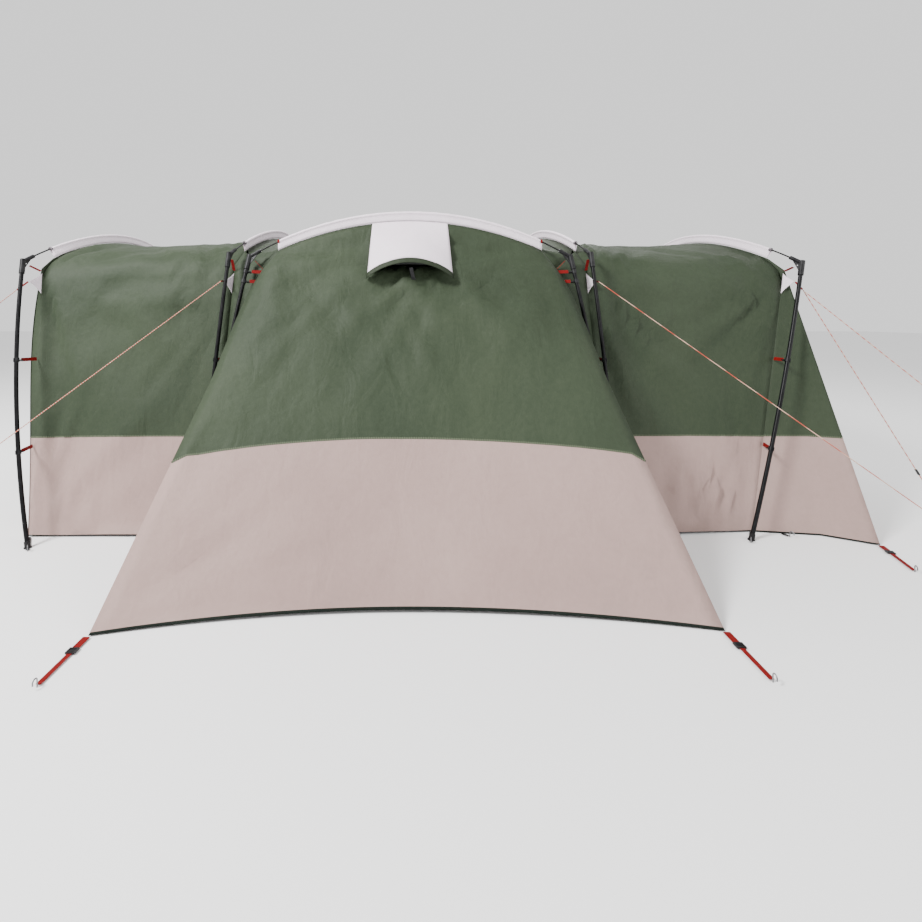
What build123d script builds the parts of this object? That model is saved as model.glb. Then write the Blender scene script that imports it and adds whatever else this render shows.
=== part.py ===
from build123d import *
from math import sqrt
import os

# Frame tent on five external pole arches: two wings, a centre bay and a pod
# in front. Millimetres, +Z up, -Y is the front, +X the right wing.

# Steel uprights and glass-fibre roof rods
TUBE_OD = 24.0
TUBE_ID = 21.6
SPIGOT_D = 21.5
SPIGOT_ID = 18.0
ROD_D = 10.0
FERRULE_OD = 13.0
FERRULE_LENGTH = 70.0
SOCKET_D = 33.0
ROD_SOCKET_D = 25.0
SOCKET_LENGTH = 86.0
CLIP_WALL = 3.6
FOOT_R = 20.0
FIT = 0.05
SOCKET_FIT = 0.5

# Cloth, webbing, cord and pegs
CLOTH = 4.0
SEAM_GAP = 7.0
WEB_WIDTH = 25.0
WEB_THICK = 2.0
CORD_D = 5.0
WIRE_D = 5.0
FIN_GAP = 58.0
TUNNEL_OD = 18.0
TUNNEL_ID = 15.0

# Each arch: foot, elbow and apex of the front half; the rear half mirrors it
ELBOW_Y = 1150.0
ARCHES = {
    "left_end": dict(foot=(-2225, 1540), elbow=(-2555, 1710), apex=(-2440, 2035), bow=(-20, 45)),
    "left_inner": dict(foot=(-1265, 1490), elbow=(-1195, 1755), apex=(-1085, 2070), bow=(0, 25)),
    "right_inner": dict(foot=(1265, 1490), elbow=(1195, 1755), apex=(1085, 2070), bow=(0, 25)),
    "right_end": dict(foot=(2058, 1435), elbow=(2588, 1700), apex=(2400, 2035), bow=(12, 15)),
}
FRONT_Y = -1148.0
FRONT = dict(foot=(1225, -1580), elbow=(1060, 1740), apex=2030, bow=(25, -10))

# Cloth lines of each arch: shoulder and hem, as X, |Y| and Z
SHOULDER_Y = 1050.0
LINES = {
    "left_end": dict(shoulder=(-2500, 1670), hem=(-2330, 1396), top=-2430),
    "left_inner": dict(shoulder=(-1190, 1697), hem=(-1240, 1400), top=-1085),
    "right_inner": dict(shoulder=(1190, 1697), hem=(1240, 1400), top=1085),
    "right_end": dict(shoulder=(2540, 1663), hem=(2137, 1325), top=2390),
}
FRONT_SHOULDER = Vector(960, FRONT_Y, 1660)
FRONT_HEM = Vector(1150, -1500, 0)
SLEEVE_END = 955.0
POD_CORNERS = {-1: Vector(-1354, -2347, 0), 1: Vector(1346, -2314, 0)}
POD_HEM_MIDDLE = Vector(0, -2180, 0)
END_CORNER = Vector(2760, -1515, 0)
END_HEM_BEND = Vector(2520, -1380, 0)

# Doors: an upside-down U in the end wall and in the centre rear wall
DOOR_SILL = 160.0
DOOR_HALF = 550.0
DOOR_ROWS = ((DOOR_SILL, 550.0), (1280.0, 550.0), (1430.0, 470.0), (1520.0, 300.0))
DOOR_GAP = 8.0
SLIDER_FOOT = 220.0

# Vent in the top of the front pod, as shares of the slope from top to hem
VENT_TOP = 0.035
VENT_BOTTOM = 0.15
VENT_SHARE = 0.21
HOOD_HALF = 247.0
HOOD_SIDE_END = 0.179
HOOD_MIDDLE_END = 0.157
HOOD_LIFT = 88.0
PROP_WIDTH = 22.0

CLIP_HEIGHTS = (1070.0, 530.0)
FRONT_CLIP_HEIGHTS = (1640.0, 1575.0, 1070.0, 530.0)
HEM_PEG_SHARE = 0.4
GUY_TAB_TOP = 1640.0
GUY_TAB_FOOT = 1500.0

# Blanks stand on their own origin
STAND = (Align.CENTER, Align.CENTER, Align.MIN)


def mirrored(p):
    return Vector(p.X, -p.Y, p.Z)


def between(a, b, t):
    return a + (b - a) * t


def unit(v):
    return v * (1.0 / v.length)


def facing(origin, direction, across=None):
    return Plane(origin=origin, x_dir=across, z_dir=direction)


def bar(a, b, diameter):
    """A round bar from a to b."""
    blank = Cylinder(diameter / 2, (b - a).length, align=STAND)
    return facing(a, b - a) * blank


def strap(a, b, width, thick, across):
    """A flat strip from a to b, whose width lies along across."""
    run = b - a
    side = across - run * (across.dot(run) / run.dot(run))
    blank = Box(width, thick, run.length, align=STAND)
    return facing(a, run, side) * blank


def along(path, start, end, outer, inner=0.0):
    """A round bar or tube along the stretch of path from start to end, in mm."""
    piece = path.trim(start / path.length, end / path.length)
    ring = Circle(outer / 2)
    if inner:
        ring = Circle(outer / 2) - Circle(inner / 2)
    return sweep(facing(piece @ 0, piece % 0) * ring, path=piece)


def newell(points):
    """The normal of a flat or nearly flat ring of points."""
    total = Vector(0, 0, 0)
    for a, b in zip(points, points[1:] + points[:1]):
        total += a.cross(b)
    return total


def cloth(points, cells, thick=CLOTH):
    """A closed thin solid whose middle surface is the given cells."""
    normals = [Vector(0, 0, 0) for _ in points]
    for cell in cells:
        n = unit(newell([points[i] for i in cell]))
        for i in cell:
            normals[i] += n
    upper = [p + unit(n) * (thick / 2) for p, n in zip(points, normals)]
    lower = [p - unit(n) * (thick / 2) for p, n in zip(points, normals)]
    triangles = []
    for cell in cells:
        for i in range(1, len(cell) - 1):
            triangles.append((cell[0], cell[i], cell[i + 1]))
    edges = {(c[i], c[(i + 1) % len(c)]) for c in cells for i in range(len(c))}
    rings = []
    for a, b, c in triangles:
        rings.append((upper[a], upper[b], upper[c]))
        rings.append((lower[c], lower[b], lower[a]))
    for a, b in sorted(edges):
        if (b, a) not in edges:
            rings.append((upper[a], lower[a], lower[b]))
            rings.append((upper[a], lower[b], upper[b]))
    faces = [Face(Wire.make_polygon(ring, close=True)) for ring in rings]
    return Solid(Shell(faces))


def grid_cloth(rows, open_cells=(), thick=CLOTH):
    """Cloth from rows of points; open_cells are left out as openings."""
    wide = len(rows[0])
    points = [p for row in rows for p in row]
    cells = []
    for r in range(len(rows) - 1):
        for c in range(wide - 1):
            if (r, c) not in open_cells:
                cells.append((r * wide + c, r * wide + c + 1, (r + 1) * wide + c + 1, (r + 1) * wide + c))
    used = sorted({i for cell in cells for i in cell})
    place = {old: new for new, old in enumerate(used)}
    return cloth([points[i] for i in used], [tuple(place[i] for i in cell) for cell in cells], thick)


def steps(count, start=0.0, end=1.0):
    return [start + (end - start) * i / count for i in range(count + 1)]


# --- Poles -------------------------------------------------------------------

class Arch:
    """Centre lines of one arch: the uprights, side -1 and +1, and the roof rod."""

    def __init__(self, feet, elbows, apex, bow):
        self.feet = feet
        self.elbows = elbows
        self.apex = apex
        self.uprights = {}
        for side in (-1, 1):
            middle = between(feet[side], elbows[side], 0.5) + bow[side]
            self.uprights[side] = Edge.make_three_point_arc(feet[side], middle, elbows[side])
        self.rod = Edge.make_three_point_arc(elbows[-1], apex, elbows[1])

    def upright_at(self, side, height):
        share = (height - self.feet[side].Z) / (self.elbows[side].Z - self.feet[side].Z)
        return self.uprights[side] @ share


def side_arch(spec):
    foot_x, foot_y = spec["foot"]
    elbow_x, elbow_z = spec["elbow"]
    apex_x, apex_z = spec["apex"]
    bow_x, bow_y = spec["bow"]
    feet = {s: Vector(foot_x, s * foot_y, 0) for s in (-1, 1)}
    elbows = {s: Vector(elbow_x, s * ELBOW_Y, elbow_z) for s in (-1, 1)}
    bow = {s: Vector(bow_x, s * bow_y, 0) for s in (-1, 1)}
    return Arch(feet, elbows, Vector(apex_x, 0, apex_z), bow)


def front_arch(spec):
    foot_x, foot_y = spec["foot"]
    elbow_x, elbow_z = spec["elbow"]
    bow_x, bow_y = spec["bow"]
    feet = {s: Vector(s * foot_x, foot_y, 0) for s in (-1, 1)}
    elbows = {s: Vector(s * elbow_x, FRONT_Y, elbow_z) for s in (-1, 1)}
    bow = {s: Vector(s * bow_x, bow_y, 0) for s in (-1, 1)}
    return Arch(feet, elbows, Vector(0, FRONT_Y, spec["apex"]), bow)


arches = {name: side_arch(spec) for name, spec in ARCHES.items()}
arches["front"] = front_arch(FRONT)
SIDE_WORDS = {-1: "front", 1: "rear"}
FRONT_WORDS = {-1: "left", 1: "right"}

parts = {}


def upright(arch, side):
    """Lower tube, upper tube and the spigot that joins them."""
    path = arch.uprights[side]
    middle = path.length * 0.5
    top = path.length - 18
    lower = along(path, 8, middle - 0.2, TUBE_OD, TUBE_ID)
    upper = along(path, middle + 0.2, top, TUBE_OD, TUBE_ID)
    spigot = along(path, middle - 50, middle + 50, SPIGOT_D, SPIGOT_ID)
    return [lower, upper, spigot]


def elbow_axes(arch, side):
    """Unit vectors from the elbow's corner down the upright and in along the rod."""
    post = arch.uprights[side]
    down = unit(post @ (1 - SOCKET_LENGTH / post.length) - arch.elbows[side])
    share = SOCKET_LENGTH / arch.rod.length
    inward = unit(arch.rod @ (share if side < 0 else 1 - share) - arch.elbows[side])
    return down, inward


def elbow(arch, side):
    """Moulded corner: a socket for the tube, one for the rod, and a web between them."""
    corner = arch.elbows[side]
    down, inward = elbow_axes(arch, side)
    normal = unit(down.cross(inward))
    body = bar(corner - down * 15, corner + down * SOCKET_LENGTH, SOCKET_D)
    body += bar(corner - inward * 6, corner + inward * SOCKET_LENGTH, ROD_SOCKET_D)
    reach = SOCKET_LENGTH - 5
    web = Wire.make_polygon([corner, corner + down * reach, corner + inward * reach], close=True)
    body += extrude(Face(web), 2.5, dir=normal, both=True)
    hole = corner + (down + inward) * 30
    body -= bar(hole - normal * 5, hole + normal * 5, 9)
    body -= bar(corner + down * 16, corner + down * (SOCKET_LENGTH + 5), TUBE_OD + 2 * SOCKET_FIT)
    body -= bar(corner + inward * 20, corner + inward * (SOCKET_LENGTH + 5), ROD_D + 2 * SOCKET_FIT)
    return body


def roof_rod(arch):
    """Three rod lengths joined end to end by two ferrules."""
    rod = arch.rod
    ends = [21, rod.length / 3, rod.length * 2 / 3, rod.length - 21]
    pieces = []
    for a, b in zip(ends, ends[1:]):
        pieces.append(along(rod, a + 0.2, b - 0.2, ROD_D))
    for joint in ends[1:3]:
        half = FERRULE_LENGTH / 2
        pieces.append(along(rod, joint - half, joint + half, FERRULE_OD, ROD_D + 2 * FIT))
    return pieces


def foot_cap(arch, side):
    """Rubber cap that closes the tube's lower end and stands on the ground."""
    path = arch.uprights[side]
    foot = path @ 0
    up = unit(path % 0)
    cap = bar(foot - up * 20, foot + up * 38, TUBE_OD + 7)
    cap += Location(foot) * Cylinder(FOOT_R, 5, align=STAND)
    cap &= Location(foot) * Box(90, 90, 60, align=STAND)
    return cap - along(path, 7.5, 60, TUBE_OD + 2 * SOCKET_FIT)


for name, arch in arches.items():
    words = FRONT_WORDS if name == "front" else SIDE_WORDS
    for side in (-1, 1):
        parts[f"{name}_upright_{words[side]}"] = upright(arch, side)
    parts[f"{name}_roof_rod"] = roof_rod(arch)

END_ARCHES = ("left_end", "right_end")
INNER_ARCHES = ("left_inner", "right_inner")
parts["end_arch_elbows"] = [elbow(arches[n], s) for n in END_ARCHES for s in (-1, 1)]
parts["inner_arch_elbows"] = [elbow(arches[n], s) for n in INNER_ARCHES for s in (-1, 1)]
parts["front_arch_elbows"] = [elbow(arches["front"], s) for s in (-1, 1)]
parts["pole_feet"] = [foot_cap(arch, s) for arch in arches.values() for s in (-1, 1)]


# --- Cloth lines --------------------------------------------------------------

class Line:
    """The seam that hangs from one side arch: hem, shoulder, roof and back down."""

    def __init__(self, arch, spec):
        self.arch = arch
        self.shoulder_x, self.shoulder_z = spec["shoulder"]
        self.hem_x, self.hem_y = spec["hem"]
        self.top_x = spec["top"]

    def shoulder(self, side):
        return Vector(self.shoulder_x, side * SHOULDER_Y, self.shoulder_z)

    def hem(self, side):
        return Vector(self.hem_x, side * self.hem_y, 0)

    def wall(self, side, height):
        return between(self.hem(side), self.shoulder(side), height / self.shoulder_z)

    def roof(self, y):
        """Point of the roof seam at depth y."""
        rise = self.arch.apex.Z - self.arch.elbows[1].Z
        radius = (ELBOW_Y ** 2 + rise ** 2) / (2 * rise)
        inner = min(abs(y), SLEEVE_END)
        z = self.arch.apex.Z - radius + sqrt(radius ** 2 - inner ** 2) - FIN_GAP
        if abs(y) > SLEEVE_END:
            z += (self.shoulder_z - z) * (abs(y) - SLEEVE_END) / (SHOULDER_Y - SLEEVE_END)
        share = (z - self.shoulder_z) / (self.arch.apex.Z - FIN_GAP - self.shoulder_z)
        return Vector(self.shoulder_x + (self.top_x - self.shoulder_x) * share, y, z)


lines = {name: Line(arches[name], spec) for name, spec in LINES.items()}
HALF_YS = (200, 400, 600, 800, SLEEVE_END, SHOULDER_Y - 5)
ROOF_YS = tuple(-y for y in reversed(HALF_YS)) + (0,) + HALF_YS


def front_roof(x):
    """Point of the cloth line under the front arch at x."""
    arch = arches["front"]
    rise = arch.apex.Z - arch.elbows[1].Z
    half = arch.elbows[1].X
    radius = (half ** 2 + rise ** 2) / (2 * rise)
    end = 870.0
    inner = min(abs(x), end)
    z = arch.apex.Z - radius + sqrt(radius ** 2 - inner ** 2) - FIN_GAP
    if abs(x) > end:
        z += (FRONT_SHOULDER.Z - z) * (abs(x) - end) / (FRONT_SHOULDER.X - end)
    return Vector(x, FRONT_Y, z)


def side_wall(left, right, side, hollow):
    """Wing wall between two side arches, drawn in a little by hollow at its middle."""
    rows = []
    for share in steps(4):
        height = share * (left.shoulder_z - SEAM_GAP)
        a = left.wall(side, height)
        b = right.wall(side, height)
        row = []
        for t in (0.005, 0.25, 0.5, 0.75, 0.995):
            p = between(a, b, t)
            pull = hollow * 4 * t * (1 - t) * 4 * share * (1 - share)
            row.append(Vector(p.X, p.Y - side * pull, max(p.Z, CLOTH)))
        rows.append(row)
    return grid_cloth(rows)


def wing_roof(left, right, sag):
    rows = []
    for y in ROOF_YS:
        a = left.roof(y)
        b = right.roof(y)
        row = []
        for t in (0.006, 0.25, 0.5, 0.75, 0.994):
            row.append(between(a, b, t) - Vector(0, 0, sag * 4 * t * (1 - t)))
        rows.append(row)
    return grid_cloth(rows)


def centre_roof():
    """Saddle between the inner arches, open in front to the front arch's cloth line."""
    left = lines["left_inner"]
    right = lines["right_inner"]
    shares = (0.008, 0.1, 0.3, 0.5, 0.7, 0.9, 0.992)
    rows = []
    front = []
    for t in shares:
        x = -FRONT_SHOULDER.X + 8 + (2 * FRONT_SHOULDER.X - 16) * (t - 0.008) / 0.984
        front.append(front_roof(x) + Vector(0, SEAM_GAP, 0))
    rows.append(front)
    for y in ROOF_YS[1:]:
        a = left.roof(y)
        b = right.roof(y)
        ahead = max(0.0, -y / SHOULDER_Y)
        row = []
        for i, t in enumerate(shares):
            p = between(a, b, t)
            bulge = 4 * t * (1 - t)
            lift = (front[i].Z - p.Z) * ahead ** 2 * bulge
            behind = max(0.0, y / SHOULDER_Y)
            row.append(p + Vector(0, 0, lift - 35 * bulge * (1 - ahead) * (1 - behind)))
        rows.append(row)
    return grid_cloth(rows)


def door_outline(gap):
    """Rows of height and half width of a door; gap shrinks them on every side."""
    rows = [list(row) for row in DOOR_ROWS]
    rows[0][0] += gap
    rows[-1][0] -= gap
    return [(height, half - gap) for height, half in rows]


def wall_with_door(place, edge, top):
    """Wall with a doorway. place gives a point from its offset and height, edge the
    half width at a height, and top the height of the wall's straight part."""
    heights = [(CLOTH, DOOR_HALF)] + list(DOOR_ROWS) + [(top, 300.0)]
    rows = []
    for height, half in heights:
        limit = edge(height)
        rows.append([place(y, height) for y in (-limit, -half, 0, half, limit)])
    open_cells = {(r, c) for r in (1, 2, 3) for c in (1, 2)}
    return rows, open_cells


def door(place):
    rows = [[place(-half, height), place(0, height), place(half, height)]
            for height, half in door_outline(DOOR_GAP)]
    return grid_cloth(rows)


def left_wall_place(y, height):
    line = lines["left_end"]
    share = height / line.shoulder_z
    return Vector(line.hem_x + (line.shoulder_x - line.hem_x) * share - SEAM_GAP, y, height)


def left_wall_edge(height):
    return abs(lines["left_end"].wall(1, height).Y) - SEAM_GAP


def left_end_wall():
    """Lower part with the doorway, and the arched part above the shoulders."""
    line = lines["left_end"]
    rows, open_cells = wall_with_door(left_wall_place, left_wall_edge, line.shoulder_z)
    for share in (0.5, 0.97):
        row = []
        for y in (-SHOULDER_Y + 12, -600, 0, 600, SHOULDER_Y - 12):
            roof = line.roof(y)
            low = Vector(line.shoulder_x, y, line.shoulder_z)
            row.append(between(low, roof, share) - Vector(SEAM_GAP, 0, 0))
        rows.append(row)
    rows[-1] = [p + Vector(0, 0, 0.5) for p in rows[-1]]
    return grid_cloth(rows, open_cells)


def rear_wall_place(x, height):
    line = lines["left_inner"]
    y = line.hem_y + (SHOULDER_Y - line.hem_y) * height / line.shoulder_z
    return Vector(-x, y + SEAM_GAP * 0.5, height)


def rear_wall_edge(height):
    return abs(lines["left_inner"].wall(1, height).X) - SEAM_GAP


def centre_rear_wall():
    top = lines["left_inner"].shoulder_z - SEAM_GAP
    rows, open_cells = wall_with_door(rear_wall_place, rear_wall_edge, top)
    return grid_cloth(rows, open_cells)


def gore(top, bottom_near, bottom_far, bend, hollow):
    """Three-cornered side panel whose hem runs from near by bend to far."""
    rows = []
    for share in (0.06, 0.3, 0.6, 1.0):
        near = between(top, bottom_near, share)
        mid = between(top, bend, share)
        far = between(top, bottom_far, share)
        row = [near + unit(mid - near) * SEAM_GAP, mid, far - unit(far - mid) * (SEAM_GAP + 3)]
        rows.append([Vector(p.X, p.Y, max(p.Z, CLOTH)) + hollow * (4 * share * (1 - share)) for p in row])
    return grid_cloth(rows)


def front_side(side):
    top = Vector(side * FRONT_SHOULDER.X, FRONT_Y, FRONT_SHOULDER.Z) + Vector(0, -10, 0)
    near = Vector(side * FRONT_HEM.X, FRONT_HEM.Y - 6, 0)
    far = POD_CORNERS[side]
    bend = between(near, far, 0.5) + Vector(-side * 12, 0, 0)
    return gore(top, near, far, bend, Vector(-side * 8, 0, 0))


def right_end_side(side):
    line = lines["right_end"]
    top = line.shoulder(side) + Vector(12, 0, 0)
    near = line.hem(side) + Vector(8, 0, 0)
    far = Vector(END_CORNER.X, side * abs(END_CORNER.Y), 0)
    bend = Vector(END_HEM_BEND.X, side * abs(END_HEM_BEND.Y), 0)
    return gore(top, near, far, bend, Vector(0, -side * 8, 0))


POD_COLUMNS = (-0.99, -0.75, -0.48, -VENT_SHARE, 0.0, VENT_SHARE, 0.48, 0.75, 0.99)


def pod_slope(column, share):
    """Point of the front slope: column from -1 to 1 across, share from top to hem."""
    top = front_roof(column * FRONT_SHOULDER.X) + Vector(0, -SEAM_GAP, 0)
    corner = POD_CORNERS[-1 if column < 0 else 1]
    hem = Vector(corner.X * abs(column), 0, 0)
    curve = 1 - column ** 2
    hem += Vector(0, corner.Y + (POD_HEM_MIDDLE.Y - corner.Y) * curve, CLOTH)
    return between(top, hem, share)


def front_pod_slope():
    shares = (0.006, VENT_TOP, VENT_BOTTOM, 0.4, 0.7, 1.0)
    rows = [[pod_slope(c, s) for c in POD_COLUMNS] for s in shares]
    return grid_cloth(rows, {(1, 3), (1, 4)})


def vent_mesh():
    columns = (-VENT_SHARE + 0.008, 0.0, VENT_SHARE - 0.008)
    rows = [[pod_slope(c, s) for c in columns] for s in (VENT_TOP + 0.005, VENT_BOTTOM - 0.005)]
    return grid_cloth(rows, thick=2.0)


def slope_normal():
    run = POD_HEM_MIDDLE - front_roof(0)
    return unit(Vector(0, run.Z, -run.Y))


def vent_hood():
    """Arched flap over the mesh: its sides lie on the slope and its middle stands off."""
    normal = slope_normal()
    rows = []
    for v in (0.06, 0.35, 0.7, 1.0):
        row = []
        for x in (-HOOD_HALF, -190, -110, 0, 110, 190, HOOD_HALF):
            arch = 1 - (x / HOOD_HALF) ** 2
            end = HOOD_SIDE_END + (HOOD_MIDDLE_END - HOOD_SIDE_END) * arch
            flat = pod_slope(x / FRONT_SHOULDER.X, end * v)
            row.append(flat + normal * (9 + HOOD_LIFT * arch * v))
        rows.append(row)
    return grid_cloth(rows, thick=3.0)


PROP_FOOT = pod_slope(20 / 960, 0.202) + slope_normal() * 8
PROP_TOP = PROP_FOOT + Vector(-16, -36, 66)


def vent_prop():
    """Flat strut between the slope and the hood's lip, with a round barrel at its foot."""
    strut = strap(PROP_FOOT, PROP_TOP, PROP_WIDTH, 5, Vector(1, 0, 0))
    half = Vector(PROP_WIDTH / 2 + 3, 0, 0)
    return strut + bar(PROP_FOOT - half, PROP_FOOT + half, 9)


def corner_panel(side):
    """Narrow panel between an inner arch's cloth line and the front arch's."""
    line = lines["left_inner" if side < 0 else "right_inner"]
    top_far = Vector(side * FRONT_SHOULDER.X, FRONT_Y, FRONT_SHOULDER.Z)
    hem_far = Vector(side * FRONT_HEM.X, FRONT_HEM.Y, 0)
    rows = []
    for share in steps(4, 0.0, 0.985):
        a = between(line.hem(-1), line.shoulder(-1), share)
        b = between(hem_far, top_far, share)
        row = [between(a, b, t) for t in (0.06, 0.5, 0.94)]
        rows.append([Vector(p.X, p.Y, max(p.Z, CLOTH)) for p in row])
    ridge = line.roof(-SLEEVE_END - 22)
    rows.append([between(ridge, top_far, t) - Vector(0, 6, 4) for t in (0.06, 0.42, 0.78)])
    return grid_cloth(rows)


def end_slope():
    """Sloping right end, from the end arch down to the ground."""
    line = lines["right_end"]
    rows = []
    for share in (0.008, 0.3, 0.65, 1.0):
        row = []
        for y in (-SHOULDER_Y + 6, -800, -500, 0, 500, 800, SHOULDER_Y - 6):
            column = y / SHOULDER_Y
            top = line.roof(y) + Vector(SEAM_GAP + 3, 0, 0)
            hem = Vector(END_CORNER.X, column * abs(END_CORNER.Y), CLOTH)
            row.append(between(top, hem, share))
        rows.append(row)
    return grid_cloth(rows)


def sleeve(rod_point, seam_point, span, rod, start):
    """Cloth tunnel round the rod and the fin that joins it to the roof."""
    upper = []
    lower = []
    for t in steps(10, -span, span):
        top = rod_point(t)
        low = seam_point(t)
        down = unit(low - top)
        upper.append(top + down * (TUNNEL_OD / 2 + 1))
        lower.append(low - down * 6)
    tunnel = along(rod, start, rod.length - start, TUNNEL_OD, TUNNEL_ID)
    return [grid_cloth([upper, lower], thick=2.0), tunnel]


def side_sleeve(name):
    line = lines[name]
    arch = arches[name]
    rise = arch.apex.Z - arch.elbows[1].Z
    radius = (ELBOW_Y ** 2 + rise ** 2) / (2 * rise)

    def rod_point(y):
        z = arch.apex.Z - radius + sqrt(radius ** 2 - y ** 2)
        share = (z - arch.elbows[1].Z) / rise
        return Vector(arch.elbows[1].X + (arch.apex.X - arch.elbows[1].X) * share, y, z)

    return sleeve(rod_point, line.roof, SLEEVE_END, arch.rod, 207.0)


def front_sleeve():
    arch = arches["front"]
    rise = arch.apex.Z - arch.elbows[1].Z
    half = arch.elbows[1].X
    radius = (half ** 2 + rise ** 2) / (2 * rise)

    def rod_point(x):
        return Vector(x, FRONT_Y, arch.apex.Z - radius + sqrt(radius ** 2 - x ** 2))

    return sleeve(rod_point, front_roof, 870.0, arch.rod, 205.0)


parts["left_front_wall"] = side_wall(lines["left_end"], lines["left_inner"], -1, 18)
parts["left_rear_wall"] = side_wall(lines["left_end"], lines["left_inner"], 1, 18)
parts["left_roof"] = wing_roof(lines["left_end"], lines["left_inner"], 40)
parts["left_end_wall"] = left_end_wall()
parts["left_end_door"] = door(left_wall_place)
parts["centre_roof"] = centre_roof()
parts["centre_rear_wall"] = centre_rear_wall()
parts["rear_door"] = door(rear_wall_place)
parts["right_front_wall"] = side_wall(lines["right_inner"], lines["right_end"], -1, 18)
parts["right_rear_wall"] = side_wall(lines["right_inner"], lines["right_end"], 1, 18)
parts["right_roof"] = wing_roof(lines["right_inner"], lines["right_end"], 40)
parts["right_end_slope"] = end_slope()
parts["right_end_sides"] = [right_end_side(-1), right_end_side(1)]
parts["front_pod_slope"] = front_pod_slope()
parts["front_pod_side_left"] = front_side(-1)
parts["front_pod_side_right"] = front_side(1)
parts["front_corner_panels"] = [corner_panel(-1), corner_panel(1)]
parts["vent_mesh"] = vent_mesh()
parts["vent_hood"] = vent_hood()
parts["vent_prop"] = vent_prop()
parts["pole_sleeves"] = [piece for name in LINES for piece in side_sleeve(name)] + front_sleeve()


# --- Zips ---------------------------------------------------------------------

def zip_slider(place, away):
    """Slider with its pull tab, on the outside of the door near the foot of its free edge."""
    offset = -(DOOR_HALF - DOOR_GAP - 20)
    low = place(offset, SLIDER_FOOT)
    up = unit(place(offset, SLIDER_FOOT + 100) - low)
    normal = unit(up.cross(place(0, SLIDER_FOOT) - low))
    if normal.dot(away) < 0:
        normal = normal * -1
    centre = low + normal * (CLOTH / 2 + 0.6 + 3)
    body = facing(centre, normal, up) * Box(24, 12, 6)
    tab = facing(centre - up * 28 + normal, normal, up) * Box(40, 8, 2)
    return body + tab


parts["left_zip_slider"] = zip_slider(left_wall_place, Vector(-1, 0, 0))
parts["rear_zip_slider"] = zip_slider(rear_wall_place, Vector(0, 1, 0))


# --- Clips, webbing, straps ------------------------------------------------------

def cloth_edge(name, side, height):
    """Where the cloth line is at this height beside an upright."""
    if name == "front":
        share = height / FRONT_SHOULDER.Z
        hem = Vector(side * FRONT_HEM.X, FRONT_HEM.Y, 0)
        top = Vector(side * FRONT_SHOULDER.X, FRONT_Y, FRONT_SHOULDER.Z)
        return between(hem, top, share)
    return lines[name].wall(side, height)


def pole_clip(arch, name, side, height):
    """Open ring that snaps on the tube, with a bar for the webbing."""
    centre = arch.upright_at(side, height)
    axis = unit(arch.uprights[side] % (height / arch.elbows[side].Z))
    toward = cloth_edge(name, side, height) - centre
    toward = unit(toward - axis * toward.dot(axis))
    plane = facing(centre, axis, toward)
    bore = TUBE_OD / 2 + 0.2
    ring = plane * (Cylinder(bore + CLIP_WALL, 24) - Cylinder(bore, 30))
    ring -= plane * (Location((-bore - 2, 0, 0)) * Box(14, 15, 40))
    loop = Box(20, 32, 6) - Location((4, 0, 0)) * Box(6, 27, 8)
    ring += plane * (Location((bore + CLIP_WALL + 8, 0, 0)) * loop)
    return ring


def clip_web(arch, name, side, height):
    centre = arch.upright_at(side, height)
    edge = cloth_edge(name, side, height)
    run = unit(edge - centre)
    axis = unit(arch.uprights[side] % (height / arch.elbows[side].Z))
    return strap(centre + run * 36, edge - run * 9, WEB_WIDTH - 3, WEB_THICK, axis)


def shoulder_web(arch, name, side):
    """Strap from the hole in the elbow's web to the shoulder of the cloth."""
    down, inward = elbow_axes(arch, side)
    hole = arch.elbows[side] + (down + inward) * 52
    edge = cloth_edge(name, side, 1650.0)
    run = unit(edge - hole)
    return strap(hole + run * 5, edge - run * 10, WEB_WIDTH - 5, WEB_THICK, down.cross(inward))


clips = []
webs = []
for name, arch in arches.items():
    for side in (-1, 1):
        heights = FRONT_CLIP_HEIGHTS if name == "front" else CLIP_HEIGHTS
        for height in heights:
            clips.append(pole_clip(arch, name, side, height))
            webs.append(clip_web(arch, name, side, height))
        webs.append(shoulder_web(arch, name, side))
parts["pole_clips"] = clips


def ground_strap(a, b, width):
    """Strap lying just above the ground from a to b."""
    lift = Vector(0, 0, 6)
    return strap(a + lift, b + lift, width, WEB_THICK, (b - a).cross(Vector(0, 0, 1)))


def peg(place, away):
    """Hooked wire peg, shown from the ground up; away is where its strap comes from."""
    flat = unit(Vector(away.X, away.Y, 0))
    radius = 11.0
    top = place + Vector(0, 0, 26)
    crown = top + flat * radius + Vector(0, 0, radius)
    tip = top + flat * 2 * radius
    hook = Edge.make_three_point_arc(top, crown, tip)
    pin = bar(place, top, WIRE_D)
    pin += along(hook, 0, hook.length, WIRE_D)
    return pin + bar(tip, tip - Vector(0, 0, 8), WIRE_D)


foot_straps = []
pegs = []
for name, arch in arches.items():
    for side in (-1, 1):
        foot = arch.feet[side]
        hem = cloth_edge(name, side, 0.0)
        run = unit(foot - hem)
        foot_straps.append(ground_strap(hem + run * 24, foot - run * (FOOT_R + 2), WEB_WIDTH))
        foot_straps.append(ground_strap(foot + run * (FOOT_R + 2), foot + run * 44, WEB_WIDTH - 7))
        pegs.append(peg(foot + run * 50, run))

for side in (-1, 1):
    bend = Vector(END_HEM_BEND.X, side * abs(END_HEM_BEND.Y), 0)
    hem = between(lines["right_end"].hem(side), bend, HEM_PEG_SHARE)
    away = unit(Vector(30, side * 50, 0))
    foot_straps.append(ground_strap(hem + away * 15, hem + away * 52, WEB_WIDTH - 7))
    pegs.append(peg(hem + away * 58, away))

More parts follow.
